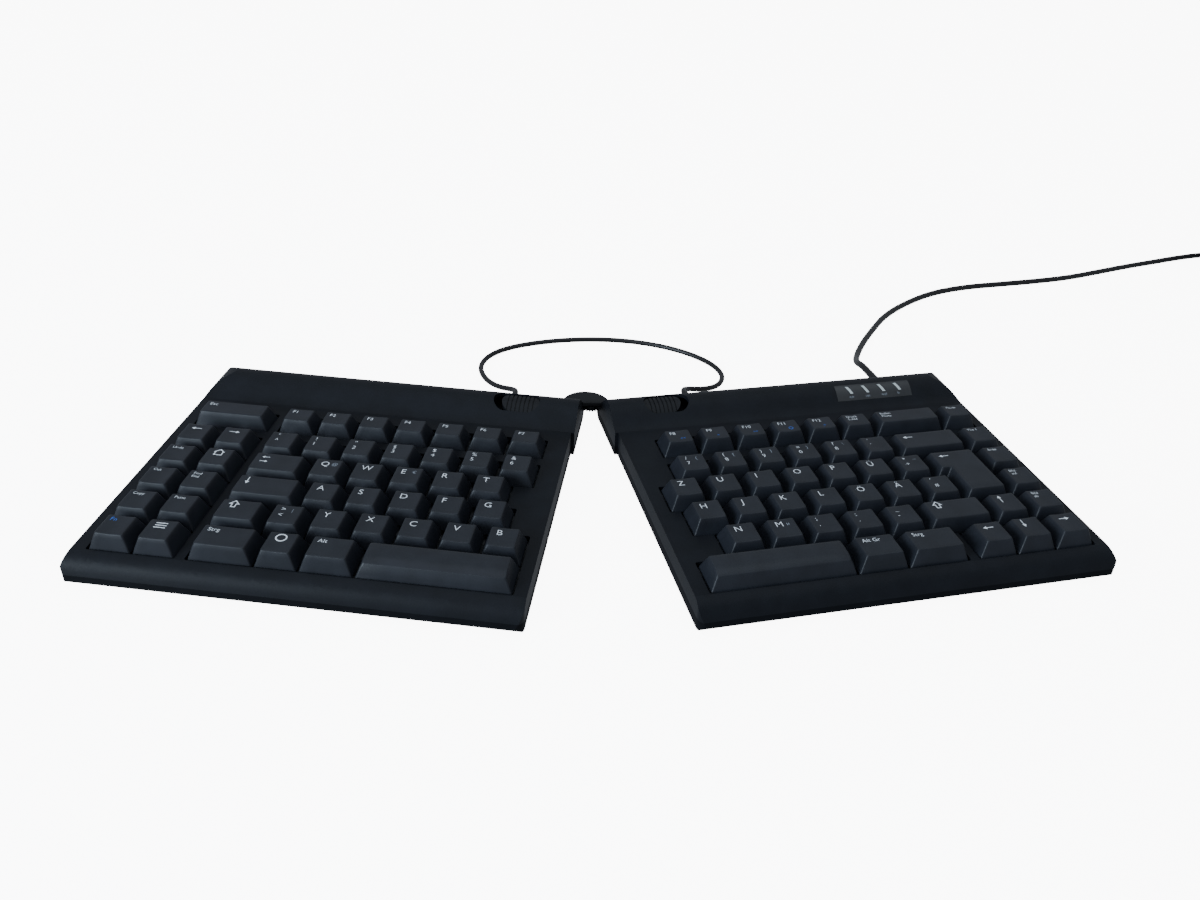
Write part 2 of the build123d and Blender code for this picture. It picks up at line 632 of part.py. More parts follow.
def screws(side):
    """Case screws of one module."""
    turn = SIDES[side]
    whole = []
    for x, y in screw_places():
        head = rod(SCREW_HEAD_RADIUS, turn * x, y, SCREW_HEAD_SUNK, SCREW_HEAD_SUNK + SCREW_HEAD)
        socket = Pos(turn * x, y, SCREW_HEAD_SUNK) * Box(SCREW_RADIUS, SCREW_RADIUS, SCREW_HEAD)
        shank = rod(SCREW_RADIUS, turn * x, y, SCREW_HEAD_SUNK + SCREW_HEAD, SCREW_TOP)
        whole.append((head + shank - socket).solid())
    return Compound(whole)


def feet(side):
    places = [(SIDES[side] * x, y) for x in FOOT_COLUMNS for y in (-FOOT_FRONT, -FOOT_REAR)]
    pads = [rod(FOOT_RADIUS, x, y, -FOOT_HEIGHT, FOOT_SEAT).solid() for x, y in places]
    return Compound(pads)


def gland(x):
    """Bush of the link cable with its flange inside the case."""
    flange = gland_axis(x, GLAND_FLANGE_RADIUS, -GLAND_INSIDE, -GLAND_INSIDE + GLAND_FLANGE)
    return gland_axis(x, GLAND_RADIUS, -GLAND_INSIDE, GLAND_END) + flange


def strain_relief():
    """Tapered relief of the USB cord."""
    length = RELIEF_END + GLAND_INSIDE
    taper = Cone(RELIEF_RADIUS, CORD_RADIUS, length)
    body = Pos(CORD_EXIT, (RELIEF_END - GLAND_INSIDE) / 2, EXIT_HEIGHT) * Rot(-90, 0, 0) * taper
    return body + gland_axis(CORD_EXIT, GLAND_FLANGE_RADIUS, -GLAND_INSIDE, -GLAND_INSIDE + GLAND_FLANGE)


def board():
    """Controller board with its chip and its two connectors."""
    x0, y0, top = BOARD_START, -BOARD_FRONT, BOARD_BASE + BOARD
    shape = block_between(x0, x0 + BOARD_LENGTH, y0, -BOARD_REAR, BOARD_BASE, top)
    middle = y0 + CHIP
    shape += block_between(x0 + CHIP, x0 + 2 * CHIP, middle - CHIP / 2, middle + CHIP / 2, top, top + CHIP_HEIGHT)
    return shape


def lights():
    """Light guides from the board up to the window."""
    under = block(WINDOW_SKIN + WINDOW_GAP)
    top = HUMP_HEIGHT + CUT
    guides = [light_box(x, 0, BOARD_BASE + BOARD, top) & under for x in light_columns()]
    return Compound([guide.solid() for guide in guides])


def turned(side, shape):
    return Rot(0, 0, SIDES[side] * SPLAY / 2) * shape


def exit_points(side, x, end):
    """End of an exit and the end of the straight lead behind it, in the keyboard's axes."""
    turn = Rot(0, 0, SIDES[side] * SPLAY / 2)
    return [(turn * Pos(SIDES[side] * x, end + lead, EXIT_HEIGHT)).position for lead in (0, EXIT_LEAD)]


def tube(name, points, radius):
    """Cord along straight runs joined by arcs as large as the runs allow."""
    points = [Vector(*point) for point in points]
    runs = [b - a for a, b in zip(points, points[1:])]
    radii = []
    for before, after in zip(runs, runs[1:]):
        half_turn = math.radians(before.get_angle(after)) / 2
        radii.append(ARC_SHARE * min(before.length, after.length) / math.tan(half_turn))
    path = FilletPolyline(*points, radius=radii)
    solid = sweep(Plane(points[0], z_dir=runs[0]) * Circle(radius), path=path)
    section = math.pi * radius ** 2
    print(name, "length", round(path.length, 1), "volume share", round(solid.volume / section / path.length, 4))
    print(name, "radii", [round(value, 1) for value in radii])
    return solid


COIL_OUTER = COIL_MEAN_RADIUS + COIL_TURNS_PER_LAYER * COIL_PITCH / 2
COIL_INNER = COIL_MEAN_RADIUS - COIL_TURNS_PER_LAYER * COIL_PITCH / 2
PLUG_AXIS = PLUG_HEIGHT / 2 - FOOT_HEIGHT


def coil_frame():
    """Coil's own axes on the desk: the cord comes along X and meets the outer turn at positive Y."""
    before, end = Vector(*CORD_ROUTE[-2]), Vector(*CORD_ROUTE[-1])
    way = (end - before).normalized()
    centre = end + way * 2 * CORD_RADIUS + Vector(way.Y, -way.X, 0) * COIL_OUTER
    return Pos(centre.X, centre.Y) * Rot(0, 0, math.degrees(math.atan2(way.Y, way.X))), way


def lying_rod(radius, x0, x1, y, z):
    """Cylinder along X."""
    return Pos((x0 + x1) / 2, y, z) * Rot(0, 90, 0) * Cylinder(radius, abs(x1 - x0))


def coil():
    """The put-away length as a closed ring that its turns fit, with the lower half turn that leads to the plug."""
    frame, way = coil_frame()
    low = CORD_ROUTE[-1][2] - CORD_RADIUS
    high = low + (COIL_LAYERS - 1) * COIL_PITCH + 2 * CORD_RADIUS
    tail = COIL_OUTER + COIL_TAIL_OUT_SHARE * COIL_PITCH
    tail_half = block_between(0, 2 * tail, -2 * tail, 2 * tail, low, PLUG_AXIS + CORD_RADIUS)
    shape = rod(COIL_OUTER + CORD_RADIUS, 0, 0, low, high)
    shape += rod(tail + CORD_RADIUS, 0, 0, low, PLUG_AXIS + CORD_RADIUS) & tail_half
    shape -= rod(COIL_INNER - CORD_RADIUS, 0, 0, low - CUT, high + CUT)
    groove_end = -2 * CORD_RADIUS - COIL_OUTER
    shape -= lying_rod(
        CORD_RADIUS + COIL_GROOVE_GAP, groove_end, -2 * CORD_RADIUS, COIL_OUTER, CORD_ROUTE[-1][2],
    )
    shape += lying_rod(CORD_RADIUS, -2 * CORD_RADIUS, CORD_RADIUS, -tail, PLUG_AXIS)
    tip = (frame * Pos(-2 * CORD_RADIUS, -tail, PLUG_AXIS)).position
    print("coil turns", COIL_LAYERS * COIL_TURNS_PER_LAYER, "plug starts at", tip)
    return frame * shape, tip, Vector(-way.X, -way.Y, 0)


def coil_tie():
    """Strap round all turns of the coil, on the side away from its tail."""
    inner = COIL_INNER - CORD_RADIUS - TIE_GAP
    outer = COIL_OUTER + CORD_RADIUS + TIE_GAP
    low = CORD_ROUTE[-1][2] - CORD_RADIUS - TIE_GAP / 2
    high = low + (COIL_LAYERS - 1) * COIL_PITCH + 2 * CORD_RADIUS + TIE_GAP
    ring = block_between(
        -outer - TIE_THICKNESS, 2 * TIE_THICKNESS - inner, -TIE_WIDTH / 2, TIE_WIDTH / 2,
        low - TIE_THICKNESS, high + TIE_THICKNESS,
    )
    ring -= block_between(-outer, TIE_THICKNESS - inner, -TIE_WIDTH, TIE_WIDTH, low, high)
    return coil_frame()[0] * ring


def plug(tip, way):
    """Plug body with its tapered boot, and the hollow metal shell with its tongue."""
    place = Location(Plane(tip, x_dir=(0, 0, 1), z_dir=way))
    boot = Pos(0, 0, PLUG_TAIL / 2) * Cone(CORD_RADIUS, PLUG_HEIGHT / 2 - CUT, PLUG_TAIL)
    body = extrude(Pos(0, 0, PLUG_TAIL) * RectangleRounded(PLUG_HEIGHT, PLUG_WIDTH, PLUG_CORNER), amount=PLUG_LENGTH)
    base = PLUG_TAIL + PLUG_LENGTH
    outer = extrude(Pos(0, 0, base) * RectangleRounded(SHELL_HEIGHT, SHELL_WIDTH, SHELL_CORNER), amount=SHELL_LENGTH)
    hollow = (SHELL_HEIGHT - 2 * SHELL_WALL, SHELL_WIDTH - 2 * SHELL_WALL)
    inner = extrude(Pos(0, 0, base) * Rectangle(*hollow), amount=SHELL_LENGTH + CUT)
    offset_up = (hollow[0] - SHELL_TONGUE) / 2
    tongue = Pos(offset_up, 0, base) * Rectangle(SHELL_TONGUE, hollow[1])
    return place * (boot + body + extrude(tongue, amount=SHELL_LENGTH - CUT)), place * (outer - inner)


def build():
    """All nodes in the hinge frame."""
    for side in SIDES:
        upper, lower = cases(side)
        membrane, sheet, plate = stack(side)
        if side == "left":
            notch = extrude(Pos(0, 0, CAP_BASE - CAP_GAP / 2) * tether_cap_plan(CAP_GAP), amount=HUMP_HEIGHT)
        else:
            reach = math.hypot(CAP_RADIUS - CAP_OFFSET, CAP_FRONT) + CAP_GAP
            notch = rod(reach, 0, 0, CAP_BASE - CAP_GAP / 2, HUMP_HEIGHT)
            notch -= block_between(-2 * reach, 2 * reach, -2 * reach, -NOTCH_FORWARD, 0, 2 * HUMP_HEIGHT)
            notch = turned(side, notch)
        nodes["top_case_" + side] = turned(side, upper) - notch
        nodes["bottom_case_" + side] = turned(side, lower)
        nodes["membrane_" + side] = turned(side, membrane)
        nodes["dome_sheet_" + side] = turned(side, sheet)
        nodes["key_plate_" + side] = turned(side, plate)
        nodes["release_slider_" + side] = turned(side, release_slider(side))
        nodes["tether_arm_" + side] = turned(side, tether_arm(side))
        nodes["case_screws_" + side] = turned(side, screws(side))
        nodes["feet_" + side] = turned(side, feet(side))
        for name, keys in KEYS[side].items():
            if name == "enter_key":
                caps = enter_key(side, *keys)
            else:
                places = [key_base(side, key) for key in keys]
                single = keycap(*places[0][2:])
                caps = Compound([
                    (Pos(x, y) * (single if (w, d) == places[0][2:] else keycap(w, d))).solid()
                    for x, y, w, d in places
                ])
            nodes[name] = turned(side, caps)
    nodes["link_cable_gland_left"] = turned("left", gland(-GLAND_LEFT))
    nodes["link_cable_gland_right"] = turned("right", gland(GLAND_RIGHT))
    nodes["usb_strain_relief"] = turned("right", strain_relief())
    nodes["controller_board"] = turned("right", board())
    nodes["indicator_lights"] = turned("right", lights())
    nodes["indicator_window"] = turned("right", (window_box(0, DECK_HEIGHT) & block(0)) - block(WINDOW_SKIN))
    cap = extrude(Pos(0, 0, CAP_BASE) * tether_cap_plan(0), amount=CAP)
    nodes["tether_cap"] = fillet(cap.edges().group_by(Axis.Z)[-1], CAP_ROUND)
    pin_foot = LEFT_ARM_BASE - PIN_GAP - PIN_HEAD
    pin = rod(PIN_RADIUS, 0, 0, pin_foot, CAP_BASE)
    nodes["tether_pin"] = pin + rod(PIN_HEAD_RADIUS, 0, 0, pin_foot, pin_foot + PIN_HEAD)
    left_end, left_lead = exit_points("left", GLAND_LEFT, GLAND_END)
    right_end, right_lead = exit_points("right", GLAND_RIGHT, GLAND_END)
    cable_points = [left_end, left_lead, *CABLE_ROUTE, right_lead, right_end]
    nodes["link_cable"] = tube("link_cable", cable_points, CABLE_RADIUS)
    cord_end, cord_lead = exit_points("right", CORD_EXIT, RELIEF_END)
    nodes["usb_cord"] = tube("usb_cord", [cord_end, cord_lead, *CORD_ROUTE], CORD_RADIUS)
    nodes["usb_cord_coil"], tip, way = coil()
    nodes["coil_tie"] = coil_tie()
    nodes["usb_plug"], nodes["usb_plug_shell"] = plug(tip, way)


def write():
    """Stand the keyboard on its feet, centred on the box of its cases, and write every node."""
    os.makedirs("parts", exist_ok=True)
    box = (nodes["top_case_left"] + nodes["top_case_right"]).bounding_box()
    shift = Pos(-(box.min.X + box.max.X) / 2, -(box.min.Y + box.max.Y) / 2, FOOT_HEIGHT)
    print("hinge axis", shift.position)
    for name, shape in nodes.items():
        export_step(shift * shape, f"parts/{name}.step")
    print(len(nodes), "nodes")


build()
write()
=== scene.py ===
"""Looks of the ergonomic split keyboard: camera, cords, keycaps with lettering, finishes, light and floor."""
import json
import math

import bmesh
import bpy
from mathutils import Matrix, Vector
from mathutils.bvhtree import BVHTree

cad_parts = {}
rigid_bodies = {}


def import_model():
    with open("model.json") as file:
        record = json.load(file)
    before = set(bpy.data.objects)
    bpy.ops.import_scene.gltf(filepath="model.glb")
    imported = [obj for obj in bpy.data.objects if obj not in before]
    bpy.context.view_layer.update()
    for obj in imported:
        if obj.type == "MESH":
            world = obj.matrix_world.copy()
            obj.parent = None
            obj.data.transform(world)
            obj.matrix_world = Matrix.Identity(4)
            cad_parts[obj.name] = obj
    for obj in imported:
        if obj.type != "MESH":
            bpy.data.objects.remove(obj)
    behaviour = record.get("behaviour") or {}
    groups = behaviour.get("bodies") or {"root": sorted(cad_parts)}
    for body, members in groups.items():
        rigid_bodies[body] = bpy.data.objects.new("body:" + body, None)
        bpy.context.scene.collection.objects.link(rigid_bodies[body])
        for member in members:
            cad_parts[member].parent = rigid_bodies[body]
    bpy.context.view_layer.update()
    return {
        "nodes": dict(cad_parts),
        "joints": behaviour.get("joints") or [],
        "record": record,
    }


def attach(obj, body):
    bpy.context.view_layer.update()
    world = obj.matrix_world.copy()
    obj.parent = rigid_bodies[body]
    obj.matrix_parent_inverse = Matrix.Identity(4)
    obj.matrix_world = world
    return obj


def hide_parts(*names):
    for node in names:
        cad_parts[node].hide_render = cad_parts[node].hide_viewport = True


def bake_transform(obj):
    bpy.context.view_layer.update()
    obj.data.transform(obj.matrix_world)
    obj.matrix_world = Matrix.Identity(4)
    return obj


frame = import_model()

MM = 0.001
NODES = frame["nodes"]
SPLAY = next(joint for joint in frame["joints"] if joint["name"] == "splay")
RIM = 0.0012                                   # the cases' rim above the desk, on their feet
HINGE = Vector((SPLAY["pos_m"][0], SPLAY["pos_m"][1], RIM))
HALF_SPLAY = math.radians(10)
MODULE = {
    "left": Matrix.Translation(HINGE) @ Matrix.Rotation(-HALF_SPLAY, 4, "Z"),
    "right": Matrix.Translation(HINGE) @ Matrix.Rotation(HALF_SPLAY, 4, "Z"),
}


# Camera
CAMERA_PLACE = Vector((-33.998, -485.520, 290.654)) * MM     # from the hinge
CAMERA_YAW, CAMERA_TILT, CAMERA_ROLL = -4.717, 57.380, 2.674
CAMERA_FOCAL_PIXELS, FRAME_WIDTH, SENSOR = 1044.752, 1200, 36.0
CAMERA_NEAR = 0.01


def make_camera():
    data = bpy.data.cameras.new("camera")
    data.sensor_width = SENSOR
    data.lens = CAMERA_FOCAL_PIXELS / FRAME_WIDTH * SENSOR
    data.clip_start = CAMERA_NEAR
    camera = bpy.data.objects.new("camera", data)
    turn = Matrix.Rotation(math.radians(CAMERA_YAW), 4, "Z")
    turn = turn @ Matrix.Rotation(math.radians(CAMERA_TILT), 4, "X")
    turn = turn @ Matrix.Rotation(math.radians(CAMERA_ROLL), 4, "Z")
    camera.matrix_world = Matrix.Translation(HINGE + CAMERA_PLACE) @ turn
    bpy.context.scene.collection.objects.link(camera)
    bpy.context.scene.camera = camera


# Materials
NOISE_DETAIL, NOISE_ROUGHNESS = 3.0, 0.55
TONE_SCALE, TONE_STOPS = 90.0, (0.35, 0.65)
SMUDGE_SCALE, SMUDGE_DETAIL = 45.0, 5.0
SMUDGE_POLISHED, SMUDGE_DULL = -0.05, 0.07     # change of roughness between a clean and a smudged spot
GRAIN_DETAIL, GRAIN_DEPTH = 2.0, 0.00004
CLEAR_TONE_SCALE, CLEAR_TONE_STOPS, CLEAR_TINT_SHARE = 60.0, (0.3, 0.7), 0.8
CLEAR_GRAIN, CLEAR_STRENGTH, CLEAR_DEPTH = 900.0, 0.05, 0.00002


def principled(name):
    material = bpy.data.materials.new(name)
    material.use_nodes = True
    return material, material.node_tree, material.node_tree.nodes["Principled BSDF"]


def noise(tree, scale, detail=NOISE_DETAIL):
    place = tree.nodes.new("ShaderNodeTexCoord")
    texture = tree.nodes.new("ShaderNodeTexNoise")
    texture.inputs["Scale"].default_value = scale
    texture.inputs["Detail"].default_value = detail
    texture.inputs["Roughness"].default_value = NOISE_ROUGHNESS
    tree.links.new(place.outputs["Object"], texture.inputs["Vector"])
    return texture.outputs["Fac"]


def ramp(tree, value, stops, colours):
    node = tree.nodes.new("ShaderNodeValToRGB")
    for element, stop, colour in zip(node.color_ramp.elements, stops, colours):
        element.position = stop
        element.color = (*colour, 1)
    tree.links.new(value, node.inputs["Fac"])
    return node.outputs["Color"]


def spread(tree, value, low, high):
    node = tree.nodes.new("ShaderNodeMapRange")
    node.inputs["To Min"].default_value = low
    node.inputs["To Max"].default_value = high
    tree.links.new(value, node.inputs["Value"])
    return node.outputs["Result"]


def bump(tree, shader, value, strength, distance):
    node = tree.nodes.new("ShaderNodeBump")
    node.inputs["Strength"].default_value = strength
    node.inputs["Distance"].default_value = distance
    tree.links.new(value, node.inputs["Height"])
    tree.links.new(node.outputs["Normal"], shader.inputs["Normal"])


def moulded(name, colour, roughness, grain=2600.0, strength=0.25, spotting=0.14, metallic=0.0, specular=0.5):
    """Moulded or plated surface: fine grain, slow change of tone, and smudges that change the gloss."""
    material, tree, shader = principled(name)
    dark = [channel * (1 - spotting) for channel in colour]
    light = [channel * (1 + spotting) for channel in colour]
    tone = ramp(tree, noise(tree, TONE_SCALE), TONE_STOPS, (dark, light))
    tree.links.new(tone, shader.inputs["Base Color"])
    smudges = noise(tree, SMUDGE_SCALE, SMUDGE_DETAIL)
    gloss = spread(tree, smudges, roughness + SMUDGE_POLISHED, roughness + SMUDGE_DULL)
    tree.links.new(gloss, shader.inputs["Roughness"])
    shader.inputs["Metallic"].default_value = metallic
    shader.inputs["Specular IOR Level"].default_value = specular
    bump(tree, shader, noise(tree, grain, GRAIN_DETAIL), strength, GRAIN_DEPTH)
    return material


def clear(name, colour, roughness, transmission):
    """Clear plastic with a slight change of tone."""
    material, tree, shader = principled(name)
    tint = [channel * CLEAR_TINT_SHARE for channel in colour]
    tone = ramp(tree, noise(tree, CLEAR_TONE_SCALE), CLEAR_TONE_STOPS, (tint, colour))
    tree.links.new(tone, shader.inputs["Base Color"])
    shader.inputs["Transmission Weight"].default_value = transmission
    shader.inputs["Roughness"].default_value = roughness
    bump(tree, shader, noise(tree, CLEAR_GRAIN), CLEAR_STRENGTH, CLEAR_DEPTH)
    return material


CASE = moulded("case_top", (0.0048, 0.0058, 0.0082), 0.50, strength=0.30, specular=0.11)
BOTTOM = moulded("case_bottom", (0.0036, 0.0041, 0.0056), 0.62, strength=0.35, specular=0.06)
KEYCAP = moulded("keycap", (0.0105, 0.0122, 0.0165), 0.42, grain=3400.0, strength=0.22, specular=0.20)
SLIDER = moulded("slider", (0.0048, 0.0054, 0.0070), 0.44, specular=0.14)
TETHER = moulded("tether_plastic", (0.0040, 0.0046, 0.0060), 0.42, specular=0.14)
PLATE = moulded("guide_plate", (0.035, 0.036, 0.040), 0.6)
DOMES = moulded("dome_rubber", (0.62, 0.62, 0.60), 0.5, grain=900.0)
FILM = moulded("membrane_film", (0.50, 0.53, 0.51), 0.25, grain=700.0)
STEEL = moulded("steel", (0.50, 0.50, 0.51), 0.32, metallic=1.0)
FEET = moulded("foot_rubber", (0.020, 0.020, 0.021), 0.8, grain=1500.0)
BOARD = moulded("circuit_board", (0.02, 0.13, 0.05), 0.3, grain=800.0)
GUIDES = clear("light_guide", (0.80, 0.84, 0.86), 0.2, 0.6)
WINDOW = moulded("window", (0.0085, 0.0095, 0.0115), 0.30, grain=900.0, strength=0.05, specular=0.4)
LIGHT_BAR = moulded("light_bar", (0.36, 0.40, 0.40), 0.45, grain=900.0, strength=0.05, spotting=0.08)
PLUG = moulded("plug_body", (0.014, 0.014, 0.016), 0.45)
SHELL = moulded("plug_shell", (0.72, 0.72, 0.70), 0.22, metallic=1.0)
TIE = moulded("tie", (0.020, 0.020, 0.022), 0.6, grain=1800.0)
JACKET = moulded("cord_jacket", (0.0040, 0.0040, 0.0050), 0.36, grain=2200.0, strength=0.3, specular=0.3)
PRINT = moulded("print_white", (0.62, 0.66, 0.70), 0.5, spotting=0.05)
PRINT_BLUE = moulded("print_blue", (0.02, 0.10, 0.42), 0.5, spotting=0.05)
PRINT_DIM = moulded("print_dim", (0.20, 0.23, 0.27), 0.5, spotting=0.05)
SLOT_MATERIALS = {
    "case_top": CASE, "case_bottom": BOTTOM, "keycap": KEYCAP, "slider": SLIDER, "tether_plastic": TETHER,
    "guide_plate": PLATE, "dome_rubber": DOMES, "membrane_film": FILM, "steel": STEEL, "foot_rubber": FEET,
    "circuit_board": BOARD, "light_guide": GUIDES, "window": WINDOW, "plug_body": PLUG, "plug_shell": SHELL,
    "tie": TIE, "cord_jacket": JACKET,
}
EDGE_WIDTHS = {
    "case_top": 0.0005, "case_bottom": 0.0004, "slider": 0.00018, "tether_plastic": 0.00015,
    "plug_body": 0.0006, "tie": 0.0003, "window": 0.0001,
}
EDGE_SEGMENTS, EDGE_ANGLE = 2, 38


def dress_nodes():
    """Finish of every CAD node, and small rounded edges where the moulding has them."""
    slots = {part["node"]: part["material_slot"] for part in frame["record"]["subparts"]}
    for name, node in NODES.items():
        node.data.materials.clear()
        node.data.materials.append(SLOT_MATERIALS[slots[name]])
        width = EDGE_WIDTHS.get(slots[name])
        if width:
            edge = node.modifiers.new("rounding", "BEVEL")
            edge.width = width
            edge.segments = EDGE_SEGMENTS
            edge.limit_method = "ANGLE"
            edge.angle_limit = math.radians(EDGE_ANGLE)
            edge.harden_normals = False
            smooth = node.modifiers.new("smoothing", "WEIGHTED_NORMAL")
            smooth.keep_sharp = True


# Cords
CABLE_DIAMETER, CORD_DIAMETER = 0.0030, 0.0038
CABLE_ROUTE = (
    (-43.0, 21.0, 5.4), (-48.8, 26.6, 3.2), (-54.8, 35.0, 1.2), (-59.6, 45.0, 0.4), (-61.8, 57.0, 0.3),
    (-57.6, 69.8, 0.3), (-46.6, 80.4, 0.3), (-28.0, 88.2, 0.3), (-5.0, 92.8, 0.3), (20.0, 92.8, 0.3),
    (43.0, 87.2, 0.3), (62.4, 76.4, 0.3), (75.6, 62.6, 0.3), (80.2, 49.0, 0.3), (77.6, 38.6, 0.5),
    (72.0, 31.6, 1.2), (64.2, 27.0, 2.6), (55.4, 23.6, 4.8),
)
CORD_ROUTE = (
    (161.8, 54.6, 5.5), (163.0, 62.0, 3.2), (165.6, 70.0, 1.6), (169.4, 79.0, 0.9), (176.6, 93.0, 0.7),
    (187.8, 111.0, 0.7), (200.4, 130.0, 0.7), (218.5, 148.5, 0.7), (243.5, 167.5, 0.7), (271.5, 179.0, 0.7),
    (299.5, 185.0, 0.7), (328.0, 191.0, 0.7), (356.5, 198.6, 0.7), (384.5, 210.0, 0.7), (412.0, 221.5, 0.7),
    (438.0, 231.0, 0.7), (458.0, 237.2, 1.5), (477.0, 242.0, 2.1), (496.0, 245.6, 2.1),
)
EXIT_HEIGHT, EXIT_LEAD = 7.5, 5.0
CABLE_EXIT_LEFT, CABLE_EXIT_RIGHT, CABLE_EXIT_END = -42.0, 54.0, 3.0
CORD_EXIT, CORD_EXIT_END = 168.0, 14.0
COIL_LAYERS, COIL_TURNS_PER_LAYER = 4, 2.25
COIL_MEAN_RADIUS, COIL_PITCH, COIL_TAIL_TURNS, COIL_TAIL_OUT_SHARE = 22.5, 4.4, 0.5, 1.15
COIL_POINTS_PER_TURN, COIL_CLIMB_TURNS = 16, 0.5
TAIL_SPREAD_SHARE, TAIL_SINK_SHARE = 0.4, 0.2  # of the tail: where it is fully out, and where it starts down
PLUG_AXIS_HEIGHT = 2.8
LINE_STEPS, JACKET_SIDES, JACKET_ROUNDNESS = 8, 20, 6


def exit_points(side, x, end):
    """End of a cord in a module's rear face and the point that leads it straight out."""
    return [MODULE[side] @ (Vector((x, end + lead, EXIT_HEIGHT)) * MM) for lead in (0, EXIT_LEAD)]


def from_hinge(points):
    return [HINGE + Vector(point) * MM for point in points]


def eased(value):
    value = min(max(value, 0.0), 1.0)
    return value * value * (3 - 2 * value)


def coil_points():
    """The put-away length, in and out in layers, and its tail down to the plug."""
    before, end = Vector(CORD_ROUTE[-2]), Vector(CORD_ROUTE[-1])
    way = (end - before).normalized()
    right = Vector((way.y, -way.x, 0))
    start = end + way * CORD_DIAMETER / MM
    outer = COIL_MEAN_RADIUS + COIL_TURNS_PER_LAYER * COIL_PITCH / 2
    centre = start + right * outer
    angle = math.atan2(-right.y, -right.x)
    turns = COIL_LAYERS * COIL_TURNS_PER_LAYER
    total = turns + COIL_TAIL_TURNS
    points = []
    for step in range(round(total * COIL_POINTS_PER_TURN) + 1):
        turn = step / COIL_POINTS_PER_TURN
        wound = min(turn, turns)
        phase = (wound / COIL_TURNS_PER_LAYER) % 2
        inwards = phase if phase <= 1 else 2 - phase
        radius = outer - inwards * COIL_TURNS_PER_LAYER * COIL_PITCH
        rise = 0.0
        for layer in range(1, COIL_LAYERS):
            past = wound - layer * COIL_TURNS_PER_LAYER
            rise += COIL_PITCH * eased(1 / 2 + past / COIL_CLIMB_TURNS)
        tail = max(turn - turns, 0) / COIL_TAIL_TURNS
        rise += (PLUG_AXIS_HEIGHT - start.z - rise) * eased((tail - TAIL_SINK_SHARE) / (1 - TAIL_SINK_SHARE))
        radius += COIL_TAIL_OUT_SHARE * COIL_PITCH * eased(tail / TAIL_SPREAD_SHARE)
        at = angle - 2 * math.pi * turn
        points.append(centre + Vector((radius * math.cos(at), radius * math.sin(at), rise)))
    final = angle - 2 * math.pi * total
    heading = Vector((math.sin(final), -math.cos(final), 0))
    return from_hinge(points + [points[-1] + heading * CORD_DIAMETER / MM])


def spline_object(name, points):
    """Open smooth line that keeps close to its points."""
    data = bpy.data.curves.new(name, "CURVE")
    data.dimensions = "3D"
    data.resolution_u = LINE_STEPS
    spline = data.splines.new("NURBS")
    spline.points.add(len(points) - 1)
    for control, point in zip(spline.points, points):
        control.co = (*point, 1)
    spline.order_u = 3
    spline.use_endpoint_u = True
    piece = bpy.data.objects.new(name, data)
    bpy.context.scene.collection.objects.link(piece)
    return piece


def bridge(work, first, second):
    """Faces between two closed rows of vertices."""
    count = len(first)
    for index in range(count):
        after = (index + 1) % count
        work.faces.new((first[index], first[after], second[after], second[index]))


def tube_mesh(name, line, diameter):
    """Round tube along the points of a line."""
    mesh = bpy.data.meshes.new(name)
    work = bmesh.new()
    rings = []
    up = Vector((0, 0, 1))
    for index, point in enumerate(line):
        ahead = (line[min(index + 1, len(line) - 1)] - line[max(index - 1, 0)]).normalized()
        across = ahead.cross(up).normalized()
        over = across.cross(ahead)
        ring = []
        for step in range(JACKET_SIDES):
            at = 2 * math.pi * step / JACKET_SIDES
            out = across * math.cos(at) + over * math.sin(at)
            ring.append(work.verts.new(point + out * diameter / 2))
        rings.append(ring)
    for first, second in zip(rings, rings[1:]):
        bridge(work, first, second)
    work.faces.new(list(reversed(rings[0])))
    work.faces.new(rings[-1])
    bmesh.ops.recalc_face_normals(work, faces=work.faces)
    for face in work.faces:
        face.smooth = True
    work.to_mesh(mesh)
    work.free()
    piece = bpy.data.objects.new(name, mesh)
    bpy.context.scene.collection.objects.link(piece)
    return piece


def make_link_cable():
    """Jacket of the loop between the two modules, laid once for the set splay."""
    left_end, left_lead = exit_points("left", CABLE_EXIT_LEFT, CABLE_EXIT_END)
    right_end, right_lead = exit_points("right", CABLE_EXIT_RIGHT, CABLE_EXIT_END)
    points = [left_end, left_lead, *from_hinge(CABLE_ROUTE), right_lead, right_end]
    guide = spline_object("link_cable_line", points)
    evaluated = guide.evaluated_get(bpy.context.evaluated_depsgraph_get())
    line = [vertex.co.copy() for vertex in bpy.data.meshes.new_from_object(evaluated).vertices]
    bpy.data.objects.remove(guide)
    piece = tube_mesh("link_cable_jacket", line, CABLE_DIAMETER)
    piece.data.materials.append(JACKET)
    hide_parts("link_cable")
    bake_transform(piece)


def make_usb_cord():
    """Jacket of the cord, its wound-up rest and its tail, as one line."""
    end, lead = exit_points("right", CORD_EXIT, CORD_EXIT_END)
    points = [end, lead, *from_hinge(CORD_ROUTE), *coil_points()]
    piece = spline_object("usb_cord_jacket", points)
    piece.data.bevel_depth = CORD_DIAMETER / 2
    piece.data.bevel_resolution = JACKET_ROUNDNESS
    piece.data.use_fill_caps = True
    piece.data.materials.append(JACKET)
    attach(piece, "right_module")
    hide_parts("usb_cord", "usb_cord_coil")


make_camera()
make_link_cable()
make_usb_cord()
dress_nodes()


